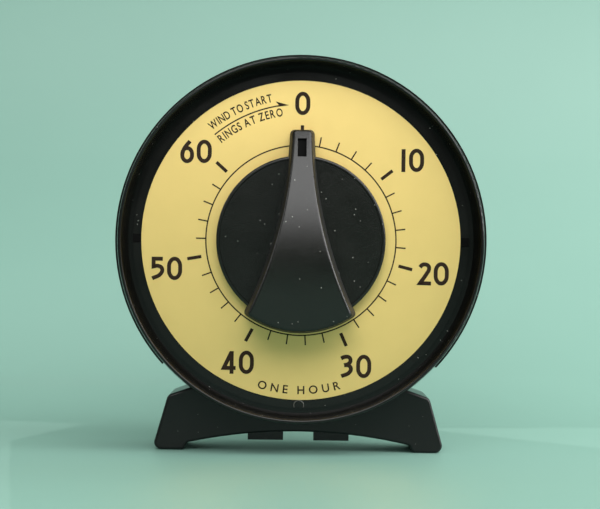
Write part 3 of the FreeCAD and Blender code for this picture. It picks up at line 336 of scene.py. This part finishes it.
def index_paint():
    """The matt black floor of the knob's index slot, which follows the curve of the grip."""
    bpy.ops.mesh.primitive_grid_add(x_subdivisions=2, y_subdivisions=12, size=1, rotation=(math.pi / 2, 0, 0))
    film = bpy.context.object
    film.name = film.data.name = "index_paint"
    place(film)
    for vertex in film.data.vertices:
        x = vertex.co.x * INDEX_WIDTH
        y = (INDEX_FROM + INDEX_TO) / 2 + vertex.co.z * (INDEX_TO - INDEX_FROM)
        crown = CROWN_HEIGHT - CROWN_RADIUS + math.sqrt(CROWN_RADIUS ** 2 - (y - CROWN_MIDDLE) ** 2)
        vertex.co = on_dial(x, y) - Vector((0, (crown - INDEX_DEPTH - PAINT_SUNK) * MM, 0))
    return ink_from_outline(film, PAINT_THICKNESS * MM)


# Size, place and thickness of the black pads that paint shade into the ring's two notches
NOTCH_LENGTH = 2.4
NOTCH_WIDTH = 2.3
NOTCH_MIDDLE = 46.2
NOTCH_RISE = 0.1
NOTCH_PAD = 0.15


def painted_notch_shade():
    """Matt black pads over the gold in the two notches in the ring, left and right of the dial: painted shade
    inside the notches.
    """
    pads = []
    for side in (-1, 1):
        bpy.ops.mesh.primitive_plane_add(size=1, location=(0, 0, 0), rotation=(math.pi / 2, 0, 0))
        pad = bpy.context.object
        pad.scale = (NOTCH_LENGTH * MM, NOTCH_WIDTH * MM, 1)
        place(pad)
        pad.location = on_dial(side * NOTCH_MIDDLE, NOTCH_RISE)
        place(pad)
        pads.append(ink_from_outline(pad, NOTCH_PAD * MM))
    return joined(pads, "painted_notch_shade")


MARK_WIRE = 0.17
MARK_RADIUS = 1.38
MARK_BELOW = 46.55
# How far each foot of the arch comes down past level, in degrees
MARK_FOOT = 24


def ring_mark():
    """The small raised arch on the ring under the dial, open at its foot."""
    bpy.ops.mesh.primitive_circle_add(vertices=10, radius=MARK_WIRE * MM, fill_type="NOTHING")
    wire = bpy.context.object
    pick(wire)
    bpy.ops.object.mode_set(mode="EDIT")
    bpy.ops.mesh.select_all(action="SELECT")
    bpy.ops.mesh.edge_face_add()
    bpy.ops.transform.translate(value=(MARK_RADIUS * MM, 0, 0))
    bpy.ops.transform.rotate(value=math.radians(-MARK_FOOT), orient_axis="Y", center_override=(0, 0, 0))
    bpy.ops.mesh.spin(steps=28, angle=math.radians(180 + 2 * MARK_FOOT), center=(0, 0, 0), axis=(0, 1, 0))
    bpy.ops.object.mode_set(mode="OBJECT")
    wire.location = on_dial(0, -MARK_BELOW)
    wire.name = wire.data.name = "ring_mark"
    place(wire)
    outward(wire)
    bpy.ops.object.shade_smooth()
    return wire


# Materials


def node_of(tree, kind, **inputs):
    """A new shader node with its inputs set."""
    node = tree.nodes.new(kind)
    for name, number in inputs.items():
        node.inputs[name.replace("_", " ")].default_value = number
    return node


def new_group(name, inputs, outputs):
    """An empty node group with named sockets."""
    group = bpy.data.node_groups.new(name, "ShaderNodeTree")
    for socket, kind, start in inputs:
        item = group.interface.new_socket(socket, in_out="INPUT", socket_type=kind)
        item.default_value = start
    for socket, kind in outputs:
        group.interface.new_socket(socket, in_out="OUTPUT", socket_type=kind)
    return group, group.nodes.new("NodeGroupInput"), group.nodes.new("NodeGroupOutput")


def make_grain():
    """Fine moulded or anodised grain: a height for bump and a soft mottle, both from 0 to 1."""
    group, start, end = new_group(
        "fine_grain",
        [("Size mm", "NodeSocketFloat", 0.2), ("Mottle mm", "NodeSocketFloat", 6.0)],
        [("Height", "NodeSocketFloat"), ("Mottle", "NodeSocketFloat")],
    )
    links = group.links
    coords = group.nodes.new("ShaderNodeTexCoord")
    for size, output, detail in (("Size mm", "Height", 2.0), ("Mottle mm", "Mottle", 4.0)):
        rate = group.nodes.new("ShaderNodeMath")
        rate.operation = "DIVIDE"
        rate.inputs[0].default_value = 1000.0
        links.new(start.outputs[size], rate.inputs[1])
        noise = node_of(group, "ShaderNodeTexNoise", Detail=detail, Roughness=0.6)
        links.new(coords.outputs["Object"], noise.inputs["Vector"])
        links.new(rate.outputs[0], noise.inputs["Scale"])
        links.new(noise.outputs["Fac"], end.inputs[output])
    return group


def make_specks():
    """A scatter of small pale dust specks, as a mask from 0 to 1."""
    group, start, end = new_group(
        "dust_specks",
        [("Spacing mm", "NodeSocketFloat", 3.0), ("Share", "NodeSocketFloat", 0.06)],
        [("Mask", "NodeSocketFloat")],
    )
    links = group.links
    coords = group.nodes.new("ShaderNodeTexCoord")
    rate = group.nodes.new("ShaderNodeMath")
    rate.operation = "DIVIDE"
    rate.inputs[0].default_value = 1000.0
    links.new(start.outputs["Spacing mm"], rate.inputs[1])
    cells = group.nodes.new("ShaderNodeTexVoronoi")
    links.new(coords.outputs["Object"], cells.inputs["Vector"])
    links.new(rate.outputs[0], cells.inputs["Scale"])
    near = group.nodes.new("ShaderNodeMath")
    near.operation = "LESS_THAN"
    links.new(cells.outputs["Distance"], near.inputs[0])
    links.new(start.outputs["Share"], near.inputs[1])
    parted = group.nodes.new("ShaderNodeSeparateColor")
    links.new(cells.outputs["Color"], parted.inputs[0])
    chosen = group.nodes.new("ShaderNodeMath")
    chosen.operation = "GREATER_THAN"
    chosen.inputs[1].default_value = 0.6
    links.new(parted.outputs[0], chosen.inputs[0])
    both = group.nodes.new("ShaderNodeMath")
    both.operation = "MULTIPLY"
    links.new(near.outputs[0], both.inputs[0])
    links.new(chosen.outputs[0], both.inputs[1])
    links.new(both.outputs[0], end.inputs["Mask"])
    return group


def make_walls():
    """Where a surface turns away from the dial's axis: 0 on its face and 1 on its side walls."""
    group, start, end = new_group(
        "side_walls",
        [("Face", "NodeSocketFloat", 0.55), ("Wall", "NodeSocketFloat", 0.2)],
        [("Mask", "NodeSocketFloat")],
    )
    links = group.links
    coords = group.nodes.new("ShaderNodeTexCoord")
    parted = group.nodes.new("ShaderNodeSeparateXYZ")
    links.new(coords.outputs["Normal"], parted.inputs[0])
    size = group.nodes.new("ShaderNodeMath")
    size.operation = "ABSOLUTE"
    links.new(parted.outputs["Y"], size.inputs[0])
    spread = group.nodes.new("ShaderNodeMapRange")
    links.new(size.outputs[0], spread.inputs["Value"])
    links.new(start.outputs["Face"], spread.inputs["From Min"])
    links.new(start.outputs["Wall"], spread.inputs["From Max"])
    links.new(spread.outputs[0], end.inputs["Mask"])
    return group


GRAIN = make_grain()
SPECKS = make_specks()
WALLS = make_walls()


def new_material(name, metallic=0.0, coat=0.0, coat_roughness=0.1, specular=0.5):
    material = bpy.data.materials.new(name)
    material.use_nodes = True
    tree = material.node_tree
    shader = tree.nodes["Principled BSDF"]
    shader.inputs["Metallic"].default_value = metallic
    shader.inputs["Coat Weight"].default_value = coat
    shader.inputs["Coat Roughness"].default_value = coat_roughness
    shader.inputs["Specular IOR Level"].default_value = specular
    return material, tree, shader


def placed_group(tree, group, **numbers):
    """A node group put into a material with its own values."""
    node = tree.nodes.new("ShaderNodeGroup")
    node.node_tree = group
    for name, number in numbers.items():
        node.inputs[name.replace("_", " ")].default_value = number
    return node


def blended(tree, mask, first, second):
    """A colour that goes from the first to the second as the mask does."""
    mix = tree.nodes.new("ShaderNodeMix")
    mix.data_type = "RGBA"
    mix.inputs[6].default_value = (*first, 1)
    mix.inputs[7].default_value = (*second, 1)
    tree.links.new(mask, mix.inputs[0])
    return mix.outputs[2]


def ranged(tree, source, low, high):
    """A value from 0 to 1 spread between two numbers."""
    spread = tree.nodes.new("ShaderNodeMapRange")
    spread.inputs["To Min"].default_value = low
    spread.inputs["To Max"].default_value = high
    tree.links.new(source, spread.inputs["Value"])
    return spread.outputs[0]


def add_bump(tree, shader, height, strength, distance):
    bump = tree.nodes.new("ShaderNodeBump")
    bump.inputs["Strength"].default_value = strength
    bump.inputs["Distance"].default_value = distance
    tree.links.new(height, bump.inputs["Height"])
    tree.links.new(bump.outputs[0], shader.inputs["Normal"])


PLASTIC_MOTTLE = 9.0
DUST_SPACING = 1.9
DUST_COLOUR = (0.28, 0.28, 0.25, 1)
METAL_MOTTLE = 5.0
LACQUER_ROUGHNESS = 0.36


def moulded_plastic(name, dark, light, rough, grain_mm, strength, specks, specular=0.35, walls=0.0):
    """Moulded plastic with mottled roughness, fine grain and dust; its walls are rougher if asked for."""
    material, tree, shader = new_material(name, specular=specular)
    grain = placed_group(tree, GRAIN, Size_mm=grain_mm, Mottle_mm=PLASTIC_MOTTLE)
    dust = placed_group(tree, SPECKS, Spacing_mm=DUST_SPACING, Share=specks)
    plain = blended(tree, grain.outputs["Mottle"], dark, light)
    dusty = tree.nodes.new("ShaderNodeMix")
    dusty.data_type = "RGBA"
    dusty.inputs[7].default_value = DUST_COLOUR
    tree.links.new(dust.outputs["Mask"], dusty.inputs[0])
    tree.links.new(plain, dusty.inputs[6])
    tree.links.new(dusty.outputs[2], shader.inputs["Base Color"])
    roughness = ranged(tree, grain.outputs["Mottle"], rough - 0.06, rough + 0.06)
    if walls:
        side = placed_group(tree, WALLS)
        more = tree.nodes.new("ShaderNodeMath")
        more.operation = "MULTIPLY_ADD"
        more.inputs[1].default_value = walls
        tree.links.new(side.outputs["Mask"], more.inputs[0])
        tree.links.new(roughness, more.inputs[2])
        roughness = more.outputs[0]
    tree.links.new(roughness, shader.inputs["Roughness"])
    add_bump(tree, shader, grain.outputs["Height"], strength, 0.0001)
    return material


def metal(name, dark, light, rough, grain_mm, strength, coat=0.0):
    """Bare or lacquered metal with a fine grain and a faint mottle."""
    material, tree, shader = new_material(name, metallic=1.0, coat=coat, coat_roughness=LACQUER_ROUGHNESS)
    grain = placed_group(tree, GRAIN, Size_mm=grain_mm, Mottle_mm=METAL_MOTTLE)
    tree.links.new(blended(tree, grain.outputs["Mottle"], dark, light), shader.inputs["Base Color"])
    roughness = ranged(tree, grain.outputs["Mottle"], rough - 0.02, rough + 0.02)
    tree.links.new(roughness, shader.inputs["Roughness"])
    add_bump(tree, shader, grain.outputs["Height"], strength, 0.00005)
    return material


case_plastic = moulded_plastic(
    "case_plastic", (0.0022, 0.0022, 0.0018), (0.005, 0.005, 0.0038),
    rough=0.24, grain_mm=0.35, strength=0.12, specks=0.07,
)
stand_plastic = moulded_plastic(
    "stand_plastic", (0.0022, 0.0024, 0.0022), (0.0045, 0.005, 0.0045),
    rough=0.3, grain_mm=0.35, strength=0.15, specks=0.04,
)
knob_plastic = moulded_plastic(
    "knob_plastic", (0.003, 0.003, 0.0023), (0.007, 0.007, 0.0052),
    rough=0.24, grain_mm=0.3, strength=0.5, specks=0.08, specular=0.4, walls=0.42,
)
# Matt black for the floor of the knob's index slot; also the colour of the painted shade in the ring's
# notches
matt_black_and_notch_shade = moulded_plastic(
    "matt_black_and_notch_shade", (0.001, 0.001, 0.0009), (0.002, 0.002, 0.0018),
    rough=0.85, grain_mm=0.2, strength=0.1, specks=0.02, specular=0.1,
)
# Lighter than the case: a painted highlight on the small raised arch
mark_painted_highlight = moulded_plastic(
    "mark_painted_highlight", (0.05, 0.05, 0.042), (0.07, 0.07, 0.06),
    rough=0.25, grain_mm=0.2, strength=0.05, specks=0.02, specular=0.5,
)
dial_metal = metal(
    "dial_metal", (0.83, 0.60, 0.20), (0.86, 0.625, 0.215), rough=0.48, grain_mm=0.10, strength=0.2, coat=1.0
)
brass = metal("rolled_brass", (0.60, 0.42, 0.16), (0.72, 0.54, 0.24), rough=0.28, grain_mm=0.3, strength=0.15)
steel = metal("bright_steel", (0.42, 0.42, 0.41), (0.58, 0.58, 0.56), rough=0.26, grain_mm=0.3, strength=0.12)
bell_metal = metal(
    "plated_bell", (0.60, 0.60, 0.60), (0.72, 0.72, 0.71), rough=0.12, grain_mm=0.4, strength=0.05
)


def printing_ink():
    """Matt dark brown ink."""
    material, tree, shader = new_material("printing_ink", specular=0.2)
    grain = placed_group(tree, GRAIN, Size_mm=0.15, Mottle_mm=1.5)
    tree.links.new(blended(tree, grain.outputs["Mottle"], (0.014, 0.006, 0.0015), (0.024, 0.011, 0.003)),
                   shader.inputs["Base Color"])
    shader.inputs["Roughness"].default_value = 0.6
    add_bump(tree, shader, grain.outputs["Height"], 0.2, 0.00003)
    return material


ink = printing_ink()

FINISHES = {
    "case_black": case_plastic,
    "stand_black": stand_plastic,
    "knob_black": knob_plastic,
    "dial_gold": dial_metal,
    "brass": brass,
    "steel": steel,
    "bell_plate": bell_metal,
}
for subpart in frame["record"]["subparts"]:
    nodes[subpart["node"]].data.materials[0] = FINISHES[subpart["material_slot"]]

printing = (
    dial_scale(),
    dial_numbers(),
    dial_arrow(),
    dial_words("WIND TO START", middle=-26.0, radius=40.9, span=19.5, narrow=0.70, weight=0.055),
    dial_words("RINGS AT ZERO", middle=-24.4, radius=36.45, span=19.7, narrow=0.72, weight=0.055),
    dial_words("ONE HOUR", middle=180.0, radius=42.3, span=23.4, narrow=1.0, weight=0.045, feet_out=True),
)
for piece in printing:
    piece.data.materials.clear()
    piece.data.materials.append(ink)
    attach(piece, "case")

# The raised arch, in a lighter colour that paints its highlight
mark = ring_mark()
mark.data.materials.append(mark_painted_highlight)
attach(mark, "case")

# Painted shade: black pads in the ring's two notches
notches = painted_notch_shade()
notches.data.materials.append(matt_black_and_notch_shade)
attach(notches, "case")

index = index_paint()
index.data.materials.append(matt_black_and_notch_shade)
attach(index, "knob_set")


# Floor, lamps and camera

SWEEP_Y = 0.26
SWEEP_RADIUS = 0.19
SWEEP_STEPS = 24
PAPER_SIZE = 3
PAPER_HEIGHT = 1.6
PAPER_DROP = 0.0001


def studio_paper():
    """A pale sheet under and behind the timer, curved up in one piece, which only shows from its face."""
    bpy.ops.mesh.primitive_plane_add(size=PAPER_SIZE, location=(0, SWEEP_Y - PAPER_SIZE / 2, -PAPER_DROP))
    sheet = bpy.context.object
    sheet.name = "paper"
    place(sheet)
    pick(sheet)
    bpy.ops.object.mode_set(mode="EDIT")
    bpy.ops.mesh.select_all(action="DESELECT")
    bpy.ops.object.mode_set(mode="OBJECT")
    for edge in sheet.data.edges:
        edge.select = all(sheet.data.vertices[i].co.y > SWEEP_Y - 0.01 for i in edge.vertices)
    bpy.ops.object.mode_set(mode="EDIT")
    bpy.ops.mesh.extrude_region_move(TRANSFORM_OT_translate={"value": (0, 0, PAPER_HEIGHT)})
    bpy.ops.mesh.select_all(action="SELECT")
    bpy.ops.mesh.normals_make_consistent(inside=False)
    bpy.ops.object.mode_set(mode="OBJECT")
    curve = sheet.modifiers.new("sweep", "BEVEL")
    curve.width = SWEEP_RADIUS
    curve.segments = SWEEP_STEPS
    curve.limit_method = "ANGLE"
    bpy.ops.object.modifier_apply(modifier=curve.name)
    if sheet.data.polygons[0].normal.z < 0:
        bpy.ops.object.mode_set(mode="EDIT")
        bpy.ops.mesh.select_all(action="SELECT")
        bpy.ops.mesh.flip_normals()
        bpy.ops.object.mode_set(mode="OBJECT")
    bpy.ops.object.shade_smooth()
    material, tree, shader = new_material("pale_paper", specular=0.5)
    grain = placed_group(tree, GRAIN, Size_mm=1.2, Mottle_mm=60.0)
    tree.links.new(blended(tree, grain.outputs["Mottle"], (0.17, 0.31, 0.256), (0.18, 0.325, 0.268)),
                   shader.inputs["Base Color"])
    shader.inputs["Roughness"].default_value = 0.5
    clear = tree.nodes.new("ShaderNodeBsdfTransparent")
    facing = tree.nodes.new("ShaderNodeNewGeometry")
    ray = tree.nodes.new("ShaderNodeLightPath")
    either = tree.nodes.new("ShaderNodeMath")
    either.operation = "MAXIMUM"
    tree.links.new(facing.outputs["Backfacing"], either.inputs[0])
    tree.links.new(ray.outputs["Is Shadow Ray"], either.inputs[1])
    through = tree.nodes.new("ShaderNodeMixShader")
    tree.links.new(either.outputs[0], through.inputs[0])
    tree.links.new(shader.outputs[0], through.inputs[1])
    tree.links.new(clear.outputs[0], through.inputs[2])
    tree.links.new(through.outputs[0], tree.nodes["Material Output"].inputs["Surface"])
    sheet.data.materials.append(material)


def lamp(name, place_at, size, watts, wide=None):
    """A softbox aimed at the dial's middle, its place in metres from there; a wide one is oblong."""
    deselect()
    middle = on_dial(0, 0)
    at = middle + Vector(place_at)
    bpy.ops.object.light_add(type="AREA", location=at)
    light = bpy.context.object
    light.name = name
    light.data.shape = "RECTANGLE" if wide else "DISK"
    light.data.size = wide or size
    light.data.size_y = size
    light.data.energy = watts
    light.rotation_euler = (middle - at).to_track_quat("-Z", "Y").to_euler()


studio_paper()
lamp("upper_softbox", (0.25, -0.50, 0.55), size=0.68, watts=15.5, wide=1.5)
lamp("right_softbox", (0.72, -0.19, 0.22), size=0.4, watts=3.4)
lamp("left_softbox", (-0.66, -0.20, 0.30), size=0.4, watts=1.0)
lamp("top_softbox", (0.15, 0.40, 0.50), size=0.3, watts=4.0, wide=1.0)
lamp("rear_softbox", (-0.15, 0.95, 0.60), size=0.5, watts=1.5)


def studio_world():
    """A weak even fill; the camera sees a plain backdrop in its place."""
    world = bpy.data.worlds.new("studio")
    bpy.context.scene.world = world
    world.use_nodes = True
    tree = world.node_tree
    fill = tree.nodes["Background"]
    fill.inputs["Color"].default_value = (0.85, 1.0, 0.93, 1)
    fill.inputs["Strength"].default_value = 0.06
    backdrop = node_of(tree, "ShaderNodeBackground", Color=(0.28, 0.52, 0.43, 1))
    ray = tree.nodes.new("ShaderNodeLightPath")
    either = tree.nodes.new("ShaderNodeMixShader")
    tree.links.new(ray.outputs["Is Camera Ray"], either.inputs[0])
    tree.links.new(fill.outputs[0], either.inputs[1])
    tree.links.new(backdrop.outputs[0], either.inputs[2])
    tree.links.new(either.outputs[0], tree.nodes["World Output"].inputs["Surface"])


studio_world()

# The camera's place in metres, its lens in millimetres and its roll in degrees
CAMERA_BACK = 0.5
CAMERA_RIGHT = -0.0002
CAMERA_HEIGHT = 0.0563
CAMERA_LENS = 106.4
CAMERA_ROLL = -0.8
camera_data = bpy.data.cameras.new("camera")
camera_data.sensor_width = 36
camera_data.lens = CAMERA_LENS
camera = bpy.data.objects.new("camera", camera_data)
bpy.context.scene.collection.objects.link(camera)
camera.location = (CAMERA_RIGHT, DIAL_Y - CAMERA_BACK, CAMERA_HEIGHT)
camera.rotation_euler = (math.pi / 2, math.radians(CAMERA_ROLL), 0)
bpy.context.scene.camera = camera
bpy.context.scene.view_settings.view_transform = "Standard"
